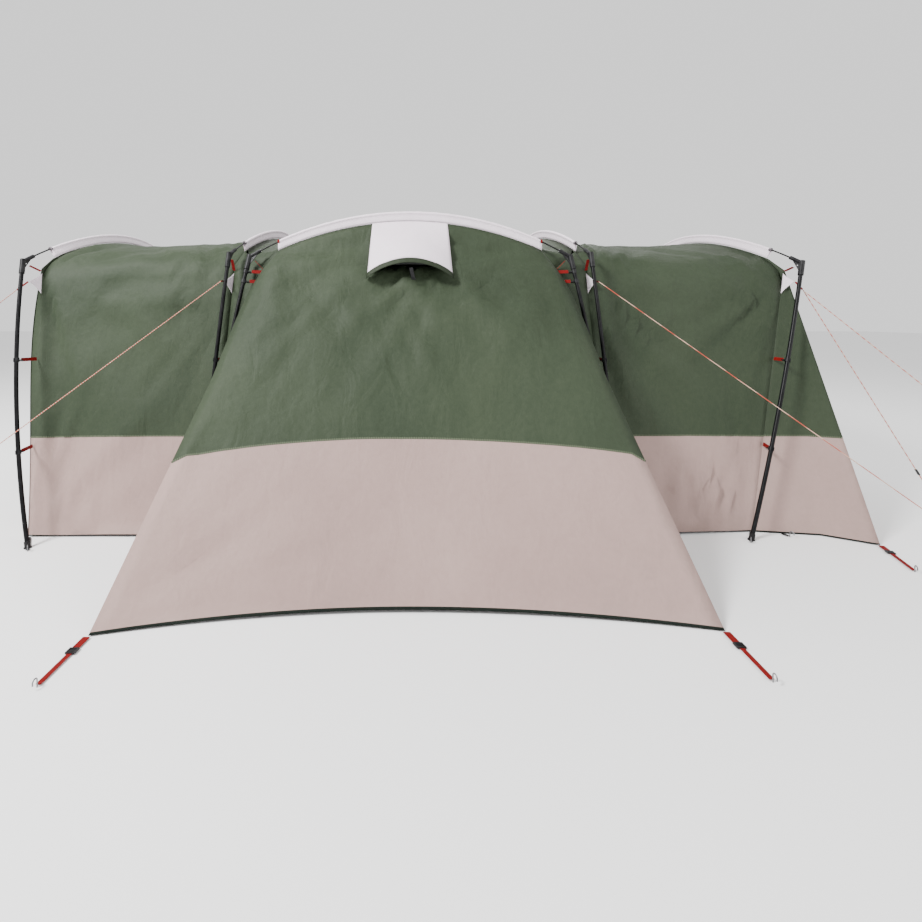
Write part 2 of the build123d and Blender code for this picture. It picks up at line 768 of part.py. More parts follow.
CORNERS = {
    "pod_left": (POD_CORNERS[-1], Vector(-1357, -2631, 0)),
    "pod_right": (POD_CORNERS[1], Vector(1339, -2606, 0)),
    "end_front": (END_CORNER, Vector(2663, -1813, 0)),
    "end_rear": (mirrored(END_CORNER), Vector(2663, 1813, 0)),
}
RED_SHARE = 82.0
BUCKLE_LENGTH = 32.0
corner_straps = []
corner_buckles = []
for corner, end in CORNERS.values():
    run = unit(end - corner)
    web_end = corner + run * RED_SHARE
    buckle_end = web_end + run * BUCKLE_LENGTH
    corner_straps.append(ground_strap(corner + run * 10, web_end - run * 1, 30))
    corner_straps.append(ground_strap(buckle_end + run * 1, end - run * 6, 20))
    lift = Vector(0, 0, 7)
    frame = strap(web_end + lift, buckle_end + lift, 38, 8, run.cross(Vector(0, 0, 1)))
    for slot in (8.0, 16.0, 24.0):
        low = web_end + run * slot
        frame -= facing(low, Vector(0, 0, 1), run) * Box(4, 28, 60)
    corner_buckles.append(frame)
    pegs.append(peg(end, run))
parts["foot_straps"] = foot_straps
parts["corner_straps"] = corner_straps
parts["corner_buckles"] = corner_buckles


# --- Guy points, guy lines, runners, pegs --------------------------------------------

def guy_tip(name, side):
    """Outer corner of a guy tab, where its loop is sewn on."""
    line = lines[name]
    outward = -1 if line.shoulder_x < 0 else 1
    root = between(line.wall(side, GUY_TAB_TOP), line.wall(side, GUY_TAB_FOOT), 0.5)
    return root + Vector(outward * 40, side * 62, 10)


def guy_panel(name, side):
    """Three-cornered cloth tab sewn to the shoulder, its tip toward the pole."""
    line = lines[name]
    upper = line.wall(side, GUY_TAB_TOP)
    lower = line.wall(side, GUY_TAB_FOOT)
    tip = guy_tip(name, side)
    out = unit(tip - between(upper, lower, 0.5)) * 9
    face = Face(Wire.make_polygon([upper + out, lower + out, tip], close=True))
    normal = unit((lower - upper).cross(tip - upper))
    return extrude(face, 1.5, dir=normal, both=True)


parts["guy_panels"] = [guy_panel(name, side) for name in LINES for side in (-1, 1)]

GUYS = {
    "left_inner": (Vector(-1228, -1200, 1577), Vector(-3060, -1850, 0)),
    "right_inner": (Vector(1228, -1200, 1572), Vector(3151, -1850, 0)),
    "left_end": (Vector(-2600, -1150, 1519), Vector(-3600, -2300, 0)),
    "right_end_steep": (Vector(2595, -1150, 1520), Vector(3310, -1450, 0)),
    "right_end_long": (Vector(2595, -1166, 1508), Vector(3700, -2100, 0)),
}
LOOP_OWNERS = {"right_end_steep": "right_end", "right_end_long": "right_end"}
LOOP_WIDTH = 10.0
PEG_CLEAR = 12.0
RUNNER_FROM_PEG = 420.0
guy_axes = {}
guy_pegs = []
for name, (start, ground) in GUYS.items():
    outward = unit(Vector(ground.X - start.X, ground.Y - start.Y, 0))
    end = ground - outward * PEG_CLEAR + Vector(0, 0, 14)
    run = unit(end - start)
    tip = guy_tip(LOOP_OWNERS.get(name, name), -1)
    pull = unit(start - tip)
    if name != "right_end_long":
        loop = strap(tip + pull * 4, start - pull * 5, LOOP_WIDTH, WEB_THICK, Vector(0, 0, 1))
        webs.append(loop)
    parts[f"{name}_guy_line"] = bar(start, end, CORD_D)
    place = end - run * RUNNER_FROM_PEG
    across = run.cross(Vector(0, 0, 1))
    block = facing(place, run, across) * Box(16, 9, 36)
    block = block - bar(place - run * 30, place + run * 30, CORD_D + 0.3)
    parts[f"{name}_runner"] = block
    guy_axes[name] = (place, run)
    guy_pegs.append(peg(ground, outward))
for name in LINES:
    tip = guy_tip(name, 1)
    hang = tip + Vector(0, 20, -44)
    webs.append(strap(tip + Vector(0, 5, -4), hang, LOOP_WIDTH, WEB_THICK, Vector(1, 0, 0)))
parts["webbing_tabs"] = webs
parts["ground_pegs"] = pegs
parts["guy_pegs"] = guy_pegs


# --- Origin and export ------------------------------------------------------------

def solids_of(item):
    """Every solid of a node, whether it is one shape or a list of shapes."""
    shapes = item if isinstance(item, list) else [item]
    return [solid for shape in shapes for solid in shape.solids()]


nodes = {}
for name, item in parts.items():
    nodes[name] = Compound(children=[Solid(s.wrapped) for s in solids_of(item)])
CORD_NODES = [f"{name}_{what}" for name in GUYS for what in ("guy_line", "runner")] + ["guy_pegs"]
box = Compound(children=[n for k, n in nodes.items() if k not in CORD_NODES]).bounding_box()
ORIGIN = Vector((box.min.X + box.max.X) / 2, (box.min.Y + box.max.Y) / 2, box.min.Z)

if __name__ == "__main__":
    os.makedirs("parts", exist_ok=True)
    for name, shape in nodes.items():
        moved = Compound(children=[Solid(s.wrapped) for s in shape.solids()]).moved(Location(-ORIGIN))
        export_step(moved, f"parts/{name}.step")
        print(name, len(moved.solids()), round(moved.volume / 1000, 1))
    print("origin", ORIGIN)
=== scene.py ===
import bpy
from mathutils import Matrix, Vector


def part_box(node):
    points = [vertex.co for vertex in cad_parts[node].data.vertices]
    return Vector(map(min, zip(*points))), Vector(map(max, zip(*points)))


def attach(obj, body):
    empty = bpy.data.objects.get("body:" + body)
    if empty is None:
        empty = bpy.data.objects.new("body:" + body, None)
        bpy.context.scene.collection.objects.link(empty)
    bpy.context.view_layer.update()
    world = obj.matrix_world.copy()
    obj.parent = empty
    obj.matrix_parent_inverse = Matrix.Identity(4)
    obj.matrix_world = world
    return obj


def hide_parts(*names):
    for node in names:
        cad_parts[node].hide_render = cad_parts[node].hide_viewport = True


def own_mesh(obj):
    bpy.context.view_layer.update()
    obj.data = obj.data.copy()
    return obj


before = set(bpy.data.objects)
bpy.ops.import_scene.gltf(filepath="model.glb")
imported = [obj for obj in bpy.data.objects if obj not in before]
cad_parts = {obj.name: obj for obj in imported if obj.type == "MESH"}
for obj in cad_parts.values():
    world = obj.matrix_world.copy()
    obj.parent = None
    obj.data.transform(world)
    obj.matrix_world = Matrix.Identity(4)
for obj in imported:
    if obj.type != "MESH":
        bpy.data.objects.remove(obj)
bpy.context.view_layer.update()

from math import atan2, pi, radians, sqrt, sin, cos

import bpy
from mathutils import Vector, noise

# Metres. Places are counted from MID, the tent's middle line on the ground:
# halfway between the inner arches, in the plane of their apexes.
LOW_L, HIGH_L = (Vector(c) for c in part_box("left_inner_roof_rod"))
HIGH_R = Vector(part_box("right_inner_roof_rod")[1])
MID = Vector(((LOW_L.x + HIGH_R.x) / 2, (LOW_L.y + HIGH_L.y) / 2, 0))
TENT = "tent"

# Cloth lines, repeated from the design in metres
ELBOW_Y = 1.150
SHOULDER_Y = 1.050
SLEEVE_END = 0.955
FIN_GAP = 0.058

# Side arches: elbow, apex and shoulder are (x, z), hem is (x, y) on either side, top is
# the roof seam's x at its highest, and belly is how far the wall seam swells along x
LINES = {
    "left_end": dict(elbow=(-2.555, 1.710), apex=(-2.440, 2.035), shoulder=(-2.500, 1.670),
                     hem=(-2.330, 1.396), top=-2.430, belly=-0.040),
    "left_inner": dict(elbow=(-1.195, 1.755), apex=(-1.085, 2.070), shoulder=(-1.190, 1.697),
                       hem=(-1.240, 1.400), top=-1.085),
    "right_inner": dict(elbow=(1.195, 1.755), apex=(1.085, 2.070), shoulder=(1.190, 1.697),
                        hem=(1.240, 1.400), top=1.085),
    "right_end": dict(elbow=(2.588, 1.700), apex=(2.400, 2.035), shoulder=(2.540, 1.663),
                      hem=(2.137, 1.325), top=2.390),
}
FRONT_Y = -1.148
FRONT_ELBOW = (1.060, 1.740)
FRONT_TOP = 2.030
FRONT_SLEEVE_END = 0.870
FRONT_SHOULDER = Vector((0.960, FRONT_Y, 1.660))
FRONT_HEM = Vector((1.150, -1.500, 0))
POD_CORNERS = {-1: Vector((-1.354, -2.347, 0)), 1: Vector((1.346, -2.314, 0))}
POD_HEM_MIDDLE_Y = -2.180
END_CORNER = Vector((2.760, -1.515, 0))
END_HEM_BEND = Vector((2.520, -1.380, 0))

# Heights at which the green cloth meets the skirt, and the sizes of seam and binding
WING_SEAM = 0.580
POD_SEAM_MIDDLE = 0.705
POD_SEAM_EDGE = 0.634
END_SEAM = 0.595
SEAM_FLAP = 0.030
SEAM_WIDTH, SEAM_THICK = 0.010, 0.0034
BINDING = 0.012

# Belly of the pod's edges, half width of the left wall that stays flat, hem off the ground
POD_BELLY = 0.030
WALL_HOLD = 0.600
GROUND_LIFT = 0.005

# Rounded heights, which turn a seam's or a binding's height into a share of its panel
WALL_HEIGHT, GORE_HEIGHT, POD_HEIGHT = 1.67, 1.7, 2.0

# Doorway corners as (height, half width), from the sill to the crown
DOOR_ROWS = ((0.160, 0.550), (1.280, 0.550), (1.430, 0.470), (1.520, 0.300))
DOOR_GAP = 0.008
DOOR_SIDE_COLUMNS, DOOR_COLUMNS = 9, 12
ZIP_TAPE_WIDTH, ZIP_TAPE_THICK, ZIP_TAPE_INSET = 0.016, 0.0024, 0.009

VENT_TOP, VENT_BOTTOM, VENT_SHARE, VENT_SIDE = 0.035, 0.15, 0.21, 0.48
POD_HOLLOW, END_HOLLOW = 0.035, 0.03
HOOD_HALF, HOOD_SIDE_END, HOOD_MIDDLE_END, HOOD_LIFT = 0.247, 0.179, 0.157, 0.088
FACING_WIDTH, FACING_FLARE = 0.036, 1.025
SLEEVE_RADIUS, SLEEVE_OPENING, SLEEVE_THICK = 0.0098, radians(38), 0.0010
TIE_RADIUS, TIE_WIDTH, TIE_THICK = 0.0125, 0.012, 0.0016
TAB_TOP, TAB_FOOT, TAB_REACH = 1.640, 1.500, (0.040, 0.062, 0.010)

# Rows and columns of the cloth meshes
WALL_ROWS, SKIRT_ROWS, BINDING_ROWS, ROOF_ROWS = 16, 7, 1, 34
WING_COLUMNS, END_COLUMNS = 34, 44
GORE_ROWS, END_ROWS, POD_ROWS = (20, 10), (26, 12), (22, 14)
CORNER_RIDGE_ROWS, CORNER_RIDGE_Y = 4, -0.95
CENTRE_START_Y, CENTRE_SAG = -0.97, 0.035


# --- Camera ---------------------------------------------------------------------

CAMERA_PLACE = (0, -4.450, 1.350)
SENSOR_WIDTH, LENS, SHIFT = 36, 19.52, (0.0553, -0.1573)


def make_camera():
    """Level camera in front of the tent, its picture shifted to match the photo's."""
    data = bpy.data.cameras.new("camera")
    data.sensor_width = SENSOR_WIDTH
    data.lens = LENS
    data.shift_x, data.shift_y = SHIFT
    camera = bpy.data.objects.new("camera", data)
    bpy.context.collection.objects.link(camera)
    camera.location = MID + Vector(CAMERA_PLACE)
    camera.rotation_euler = (radians(90), 0, 0)
    bpy.context.scene.camera = camera


# --- Materials --------------------------------------------------------------------

def new_material(name, color, roughness, **inputs):
    """A Principled material with the inputs that are the same all over set on its sockets."""
    material = bpy.data.materials.new(name)
    material.use_nodes = True
    shader = material.node_tree.nodes["Principled BSDF"]
    shader.inputs["Base Color"].default_value = (*color, 1)
    shader.inputs["Roughness"].default_value = roughness
    for key, value in inputs.items():
        shader.inputs[key.replace("_", " ")].default_value = value
    return material, material.node_tree.nodes, material.node_tree.links, shader


def noise_node(nodes, links, coords, scale, detail, distortion=0.0):
    node = nodes.new("ShaderNodeTexNoise")
    node.inputs["Scale"].default_value = scale
    node.inputs["Detail"].default_value = detail
    node.inputs["Distortion"].default_value = distortion
    links.new(coords, node.inputs["Vector"])
    return node.outputs["Fac"]


def mix_colors(nodes, links, fac, low, high):
    node = nodes.new("ShaderNodeValToRGB")
    node.color_ramp.elements[0].position = 0.3
    node.color_ramp.elements[0].color = (*low, 1)
    node.color_ramp.elements[1].position = 0.7
    node.color_ramp.elements[1].color = (*high, 1)
    links.new(fac, node.inputs["Fac"])
    return node.outputs["Color"]


def math_node(nodes, links, kind, a, b):
    node = nodes.new("ShaderNodeMath")
    node.operation = kind
    for socket, value in zip(node.inputs, (a, b)):
        if isinstance(value, (int, float)):
            socket.default_value = value
        else:
            links.new(value, socket)
    return node.outputs["Value"]


def bump(nodes, links, shader, height, distance, strength):
    node = nodes.new("ShaderNodeBump")
    node.inputs["Distance"].default_value = distance
    node.inputs["Strength"].default_value = strength
    links.new(height, node.inputs["Height"])
    links.new(node.outputs["Normal"], shader.inputs["Normal"])


THREAD_SCALE = 420.0


def woven(name, dark, light, roughness=0.62, crease=1.0):
    """Coated polyester: broad lighter and darker patches, partly uneven dye and partly painted
    sheen highlight, with a plain weave and soft creases from packing.
    """
    material, nodes, links, shader = new_material(name, light, roughness, Specular_IOR_Level=0.22)
    coords = nodes.new("ShaderNodeTexCoord").outputs["Object"]
    # Broad patches of colour: uneven dye, with a spread wide enough to paint a sheen highlight
    # into the colour
    dye_and_sheen = noise_node(nodes, links, coords, 1.1, 3, 0.4)
    fine = noise_node(nodes, links, coords, 38.0, 3)
    blend = math_node(nodes, links, "ADD",
                      math_node(nodes, links, "MULTIPLY", dye_and_sheen, 0.75),
                      math_node(nodes, links, "MULTIPLY", fine, 0.25))
    links.new(mix_colors(nodes, links, blend, dark, light), shader.inputs["Base Color"])
    hang = nodes.new("ShaderNodeMapping")
    hang.inputs["Scale"].default_value = (1.0, 1.0, 0.3)
    hang.inputs["Rotation"].default_value = (0.0, 0.35, 0.0)
    links.new(coords, hang.inputs["Vector"])
    hanging = noise_node(nodes, links, hang.outputs["Vector"], 7.0, 4, 0.6)
    crumple = noise_node(nodes, links, coords, 24.0, 3, 0.4)
    weave = nodes.new("ShaderNodeTexChecker")
    weave.inputs["Scale"].default_value = THREAD_SCALE
    links.new(coords, weave.inputs["Vector"])
    height = math_node(nodes, links, "ADD",
                       math_node(nodes, links, "MULTIPLY", hanging, crease),
                       math_node(nodes, links, "MULTIPLY", crumple, 0.16 * crease))
    threads = math_node(nodes, links, "MULTIPLY", weave.outputs["Fac"], 0.012)
    height = math_node(nodes, links, "ADD", height, threads)
    bump(nodes, links, shader, height, 0.022, 0.7)
    uneven = math_node(nodes, links, "MULTIPLY", dye_and_sheen, 0.12)
    links.new(math_node(nodes, links, "ADD", uneven, roughness - 0.06),
              shader.inputs["Roughness"])
    return material


def webbing(name, dark, light):
    """Woven tape with ribs across it."""
    material, nodes, links, shader = new_material(name, light, 0.75, Specular_IOR_Level=0.15)
    coords = nodes.new("ShaderNodeTexCoord").outputs["Object"]
    ribs = nodes.new("ShaderNodeTexWave")
    ribs.inputs["Scale"].default_value = 190.0
    ribs.inputs["Distortion"].default_value = 0.6
    links.new(coords, ribs.inputs["Vector"])
    fine = noise_node(nodes, links, coords, 260.0, 2)
    links.new(mix_colors(nodes, links, fine, dark, light), shader.inputs["Base Color"])
    bump(nodes, links, shader, ribs.outputs["Fac"], 0.0006, 0.6)
    return material


def seam_cloth(name):
    """Felled seam: doubled green cloth with two rows of pale stitches."""
    material, nodes, links, shader = new_material(name, (0.03, 0.042, 0.022), 0.7,
                                                  Specular_IOR_Level=0.2)
    coords = nodes.new("ShaderNodeTexCoord").outputs["Object"]
    stitches = nodes.new("ShaderNodeTexWave")
    stitches.inputs["Scale"].default_value = 34.0
    links.new(coords, stitches.inputs["Vector"])
    links.new(mix_colors(nodes, links, stitches.outputs["Fac"],
                         (0.024, 0.035, 0.017), (0.10, 0.115, 0.075)),
              shader.inputs["Base Color"])
    bump(nodes, links, shader, stitches.outputs["Fac"], 0.0012, 0.7)
    return material


def moulded(name, color, roughness, grain=500.0, metallic=0.0, wear=None):
    """Moulded plastic or painted metal: fine grain, scuffs and uneven gloss."""
    material, nodes, links, shader = new_material(name, color, roughness, Metallic=metallic,
                                                  Specular_IOR_Level=0.5 if metallic else 0.13)
    coords = nodes.new("ShaderNodeTexCoord").outputs["Object"]
    scuff = noise_node(nodes, links, coords, 22.0, 5, 0.5)
    worn = wear or tuple(min(1.0, c * 2.2 + 0.015) for c in color)
    links.new(mix_colors(nodes, links, scuff, color, worn), shader.inputs["Base Color"])
    uneven = math_node(nodes, links, "MULTIPLY", scuff, 0.18)
    links.new(math_node(nodes, links, "ADD", uneven, roughness - 0.09),
              shader.inputs["Roughness"])
    bump(nodes, links, shader, noise_node(nodes, links, coords, grain, 2), 0.0004, 0.35)
    return material


def rope(name):
    """Braided line: warm threads with paler ones between them."""
    material, nodes, links, shader = new_material(name, (0.6, 0.35, 0.24), 0.75)
    coords = nodes.new("ShaderNodeTexCoord").outputs["Object"]
    braid = nodes.new("ShaderNodeTexWave")
    braid.wave_type = "BANDS"
    braid.bands_direction = "DIAGONAL"
    braid.inputs["Scale"].default_value = 26.0
    braid.inputs["Distortion"].default_value = 2.0
    links.new(coords, braid.inputs["Vector"])
    links.new(mix_colors(nodes, links, braid.outputs["Fac"],
                         (0.42, 0.06, 0.03), (0.55, 0.36, 0.27)),
              shader.inputs["Base Color"])
    bump(nodes, links, shader, noise_node(nodes, links, coords, 420.0, 2), 0.001, 0.6)
    return material


def net(name):
    """Fine insect mesh, dark, with its threads raised."""
    material, nodes, links, shader = new_material(name, (0.01, 0.011, 0.01), 0.8)
    coords = nodes.new("ShaderNodeTexCoord").outputs["Object"]
    cells = nodes.new("ShaderNodeTexVoronoi")
    cells.inputs["Scale"].default_value = 520.0
    cells.inputs["Randomness"].default_value = 0.15
    links.new(coords, cells.inputs["Vector"])
    links.new(mix_colors(nodes, links, cells.outputs["Distance"],
                         (0.004, 0.005, 0.004), (0.03, 0.034, 0.03)),
              shader.inputs["Base Color"])
    bump(nodes, links, shader, cells.outputs["Distance"], 0.0008, 0.8)
    return material


# The green's dark-to-light spread covers uneven dye and also a painted sheen highlight in the
# broad patches
GREEN = woven("green_cloth", (0.017, 0.027, 0.0125), (0.033, 0.046, 0.0245), crease=0.9)
SKIRT = woven("skirt_cloth", (0.285, 0.198, 0.178), (0.345, 0.243, 0.219), 0.68, crease=0.7)
BEIGE = woven("beige_cloth", (0.72, 0.63, 0.69), (0.80, 0.71, 0.77), 0.66, crease=0.4)
BINDING_TAPE = webbing("binding_tape", (0.004, 0.007, 0.005), (0.010, 0.015, 0.011))
DARK_GREEN = woven("facing_cloth", (0.010, 0.016, 0.007), (0.018, 0.026, 0.012), 0.6)
RED_WEB = webbing("red_webbing", (0.11, 0.0018, 0.0018), (0.20, 0.005, 0.0045))
STEEL_BLACK = moulded("black_tube_paint", (0.0020, 0.0020, 0.0024), 0.36, grain=900.0,
                      wear=(0.007, 0.007, 0.008))
ROD_BLACK = moulded("black_rod_resin", (0.004, 0.004, 0.004), 0.36, grain=700.0)
PLASTIC_BLACK = moulded("black_moulding", (0.004, 0.004, 0.0045), 0.42)
PEG_STEEL = moulded("peg_steel", (0.10, 0.10, 0.105), 0.35, metallic=0.9, wear=(0.3, 0.3, 0.31))
ZIP_METAL = moulded("zip_metal", (0.16, 0.16, 0.165), 0.4, metallic=0.8)
ROPE = rope("guy_rope")
MESH_NET = net("vent_net")
SEAM = seam_cloth("felled_seam")
BLACK_WEB = webbing("black_webbing", (0.003, 0.003, 0.0035), (0.010, 0.010, 0.011))

# Materials of a panel, and each one's place among them
PANEL = [GREEN, SKIRT, BINDING_TAPE]
IN_GREEN, IN_SKIRT, IN_BINDING = range(3)


# --- Cords ------------------------------------------------------------------------

# Each line's guy point and the place of its peg on the ground
GUYS = {
    "left_inner": (Vector((-1.228, -1.200, 1.577)), Vector((-3.060, -1.850, 0))),
    "right_inner": (Vector((1.228, -1.200, 1.572)), Vector((3.151, -1.850, 0))),
    "left_end": (Vector((-2.600, -1.150, 1.519)), Vector((-3.600, -2.300, 0))),
    "right_end_steep": (Vector((2.595, -1.150, 1.520)), Vector((3.310, -1.450, 0))),
    "right_end_long": (Vector((2.595, -1.166, 1.508)), Vector((3.700, -2.100, 0))),
}
CORD_D = 0.005
PEG_CLEAR, PEG_LIFT = 0.012, 0.014


def make_guy_line(name, start, ground):
    """A taut line from its guy point to its peg."""
    outward = Vector((ground.x - start.x, ground.y - start.y, 0)).normalized()
    end = ground - outward * PEG_CLEAR + Vector((0, 0, PEG_LIFT))
    data = bpy.data.curves.new(f"{name}_guy", "CURVE")
    data.dimensions = "3D"
    spline = data.splines.new("NURBS")
    spline.points.add(2)
    for point, share in zip(spline.points, (0.0, 0.5, 1.0)):
        point.co = (*(MID + start.lerp(end, share)), 1)
    spline.order_u = 3
    spline.use_endpoint_u = True
    data.bevel_depth = CORD_D / 2
    data.bevel_resolution = 3
    data.materials.append(ROPE)
    line = bpy.data.objects.new(f"{name}_guy", data)
    bpy.context.collection.objects.link(line)
    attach(line, TENT)
    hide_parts(f"{name}_guy_line")


# --- Cloth surfaces ------------------------------------------------------------------

class Line:
    """The seam that hangs from one side arch: hem, shoulder, roof and back down."""

    def __init__(self, elbow, apex, shoulder, hem, top, belly=0.0):
        self.elbow_x, self.elbow_z = elbow
        self.apex_x, self.apex_z = apex
        self.shoulder_x, self.shoulder_z = shoulder
        self.hem_x, self.hem_y = hem
        self.top_x = top
        self.belly = belly
        rise = self.apex_z - self.elbow_z
        self.radius = (ELBOW_Y ** 2 + rise ** 2) / (2 * rise)

    def rod(self, y):
        z = self.apex_z - self.radius + sqrt(self.radius ** 2 - y ** 2)
        share = (z - self.elbow_z) / (self.apex_z - self.elbow_z)
        return Vector((self.elbow_x + (self.apex_x - self.elbow_x) * share, y, z))

    def chord(self, side, share):
        """Straight line from hem to shoulder, at a share of the shoulder's height."""
        hem = Vector((self.hem_x, side * self.hem_y, 0))
        return hem.lerp(Vector((self.shoulder_x, side * SHOULDER_Y, self.shoulder_z)), share)

    def swell(self, share):
        """How far the cloth bellies out from the chord."""
        return self.belly * sin(pi * min(1.0, max(0.0, share)) ** 1.8)

    def wall(self, side, share):
        """Point of the wall seam at a share of the shoulder's height."""
        return self.chord(side, share) + Vector((self.swell(share), 0, 0))

    def roof(self, y):
        z = self.rod(min(abs(y), SLEEVE_END)).z - FIN_GAP
        if abs(y) > SLEEVE_END:
            z += (self.shoulder_z - z) * (abs(y) - SLEEVE_END) / (SHOULDER_Y - SLEEVE_END)
        share = (z - self.shoulder_z) / (self.apex_z - FIN_GAP - self.shoulder_z)
        return Vector((self.shoulder_x + (self.top_x - self.shoulder_x) * share, y, z))


lines = {name: Line(**spec) for name, spec in LINES.items()}
FRONT_RISE = FRONT_TOP - FRONT_ELBOW[1]
FRONT_RADIUS = (FRONT_ELBOW[0] ** 2 + FRONT_RISE ** 2) / (2 * FRONT_RISE)


def front_rod(x):
    return Vector((x, FRONT_Y, FRONT_TOP - FRONT_RADIUS + sqrt(FRONT_RADIUS ** 2 - x ** 2)))


def front_roof(x):
    z = front_rod(min(abs(x), FRONT_SLEEVE_END)).z - FIN_GAP
    if abs(x) > FRONT_SLEEVE_END:
        past, width = abs(x) - FRONT_SLEEVE_END, FRONT_SHOULDER.x - FRONT_SLEEVE_END
        z += (FRONT_SHOULDER.z - z) * past / width
    return Vector((x, FRONT_Y, z))


def pod_slope(column, share):
    """Point of the front slope: column from -1 to 1 across, share from top to hem."""
    top = front_roof(column * FRONT_SHOULDER.x) + Vector((0, -0.004, 0))
    corner = POD_CORNERS[-1 if column < 0 else 1]
    curve = 1 - column ** 2
    depth = corner.y + (POD_HEM_MIDDLE_Y - corner.y) * curve
    hem = Vector((corner.x * abs(column), depth, 0.004 + 0.012 * curve))
    return top.lerp(hem, share) + Vector((pod_swell(share) * column ** 3, 0, 0))


POD_BELLY_END = 0.4


def pod_swell(share):
    """How far the pod's edges belly out, in their upper part."""
    if share >= POD_BELLY_END:
        return 0.0
    return POD_BELLY * sin(pi * (share / POD_BELLY_END) ** 0.6)


def smooth_step(t):
    t = min(1.0, max(0.0, t))
    return t * t * (3 - 2 * t)


def spread(count, start=0.0, end=1.0):
    return [start + (end - start) * i / count for i in range(count + 1)]


# Share of the billow, scale and offset of each layer of noise
BILLOWS = ((1.0, 1.3, Vector((3.1, 0.7, 5.2))), (0.35, 3.7, Vector((9.0, 2.0, 1.0))),
           (0.10, 11.0, Vector((0, 0, 0))))
FAN_TURN, FAN_START, FAN_END = 10.0, 0.35, 1.3


def folds(p, pins, billow, fold):
    """Height of the cloth's folds at p: soft billows, and creases that fan out from pins."""
    height = 0.0
    for share, scale, offset in BILLOWS:
        height += billow * share * noise.noise(p * scale + offset)
    for pin in pins:
        away = p - pin
        reach = away.length
        across = away.x if abs(away.x) > abs(away.y) * 0.3 else away.y
        angle = atan2(away.z, across + 1e-6)
        fan = noise.noise(Vector((angle * FAN_TURN, reach * 0.4, pin.x * 3.0)))
        fade = smooth_step(reach / FAN_START)
        height += fold * fan * fade * max(0.0, 1 - reach / FAN_END) ** 1.5
    return height


def cloth_mesh(name, rows, materials, row_material, pins=(), billow=0.0, fold=0.0,
               thick=0.0014, soften=0, keep=1, open_cell=None, edge=0.10):
    """Cloth from rows of points, softened, then folded, and given its thickness.

    The softening leaves the first and the last keep rows in place. The folds fade out
    within the share edge of each side. open_cell says which cells stay open."""
    count, wide = len(rows), len(rows[0])
    points = [list(row) for row in rows]
    for _ in range(soften):
        for c in range(wide):
            column = [points[r][c].copy() for r in range(count)]
            for r in range(keep, count - keep):
                points[r][c] = column[r] * 0.5 + (column[r - 1] + column[r + 1]) * 0.25
    shifted = []
    for r in range(count):
        row = []
        for c in range(wide):
            up = points[min(r + 1, count - 1)][c] - points[max(r - 1, 0)][c]
            along = points[r][min(c + 1, wide - 1)] - points[r][max(c - 1, 0)]
            normal = along.cross(up)
            normal = normal.normalized() if normal.length > 1e-9 else Vector((0, 0, 1))
            edge_share = min(c, wide - 1 - c) / max(1, wide - 1)
            end_share = min(r, count - 1 - r) / max(1, count - 1)
            hold = smooth_step(edge_share / edge) * smooth_step(end_share / edge)
            row.append(points[r][c] + normal * folds(points[r][c], pins, billow, fold) * hold)
        shifted.append(row)
    vertices = [MID + p for row in shifted for p in row]
    faces = []
    kinds = []
    for r in range(count - 1):
        for c in range(wide - 1):
            if open_cell and open_cell(r, c):
                continue
            low, high = r * wide + c, (r + 1) * wide + c
            faces.append((low, low + 1, high + 1, high))
            kinds.append(row_material[r] if isinstance(row_material, list) else row_material)
    mesh = bpy.data.meshes.new(name)
    mesh.from_pydata([tuple(v) for v in vertices], [], faces)
    for material in materials:
        mesh.materials.append(material)
    for polygon, kind in zip(mesh.polygons, kinds):
        polygon.material_index = kind
        polygon.use_smooth = True
    obj = bpy.data.objects.new(name, mesh)
    bpy.context.collection.objects.link(obj)
    solid = obj.modifiers.new("thickness", "SOLIDIFY")
    solid.thickness = thick
    solid.offset = 0
    return obj


def felled_seams(obj, wide, kinds):
    """A stitched seam along every row where green cloth meets the skirt."""
    obj.data.update()
    for r in range(1, len(kinds)):
        if {kinds[r - 1], kinds[r]} == {IN_GREEN, IN_SKIRT}:
            row = [obj.data.vertices[r * wide + c] for c in range(wide)]
            points = [v.co - MID for v in row]
            normals = [v.normal.copy() for v in row]
            name = f"{obj.name}_seam_{r}"
            seam = flat_strip(name, points, SEAM_WIDTH, SEAM_THICK, SEAM,
                              lambda i, normals=normals: normals[i])
            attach(seam, TENT)


def declare(obj, body, nodes):
    """Rides its body and stands in for the CAD nodes it hides."""
    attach(obj, body)
    if nodes:
        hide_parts(*nodes)


WALL_SHARES = spread(BINDING_ROWS, 0.0, BINDING / WALL_HEIGHT)
WALL_SHARES += spread(SKIRT_ROWS, BINDING / WALL_HEIGHT, WING_SEAM / WALL_HEIGHT)[1:]
WALL_SHARES += spread(WALL_ROWS, WING_SEAM / WALL_HEIGHT, 1.0)[1:]
WALL_HOLLOW, ROOF_SAG, ROOF_SAG_START = 0.018, 0.040, 0.35
HEM_HEIGHT, HEM_ARCH = 0.006, 0.010


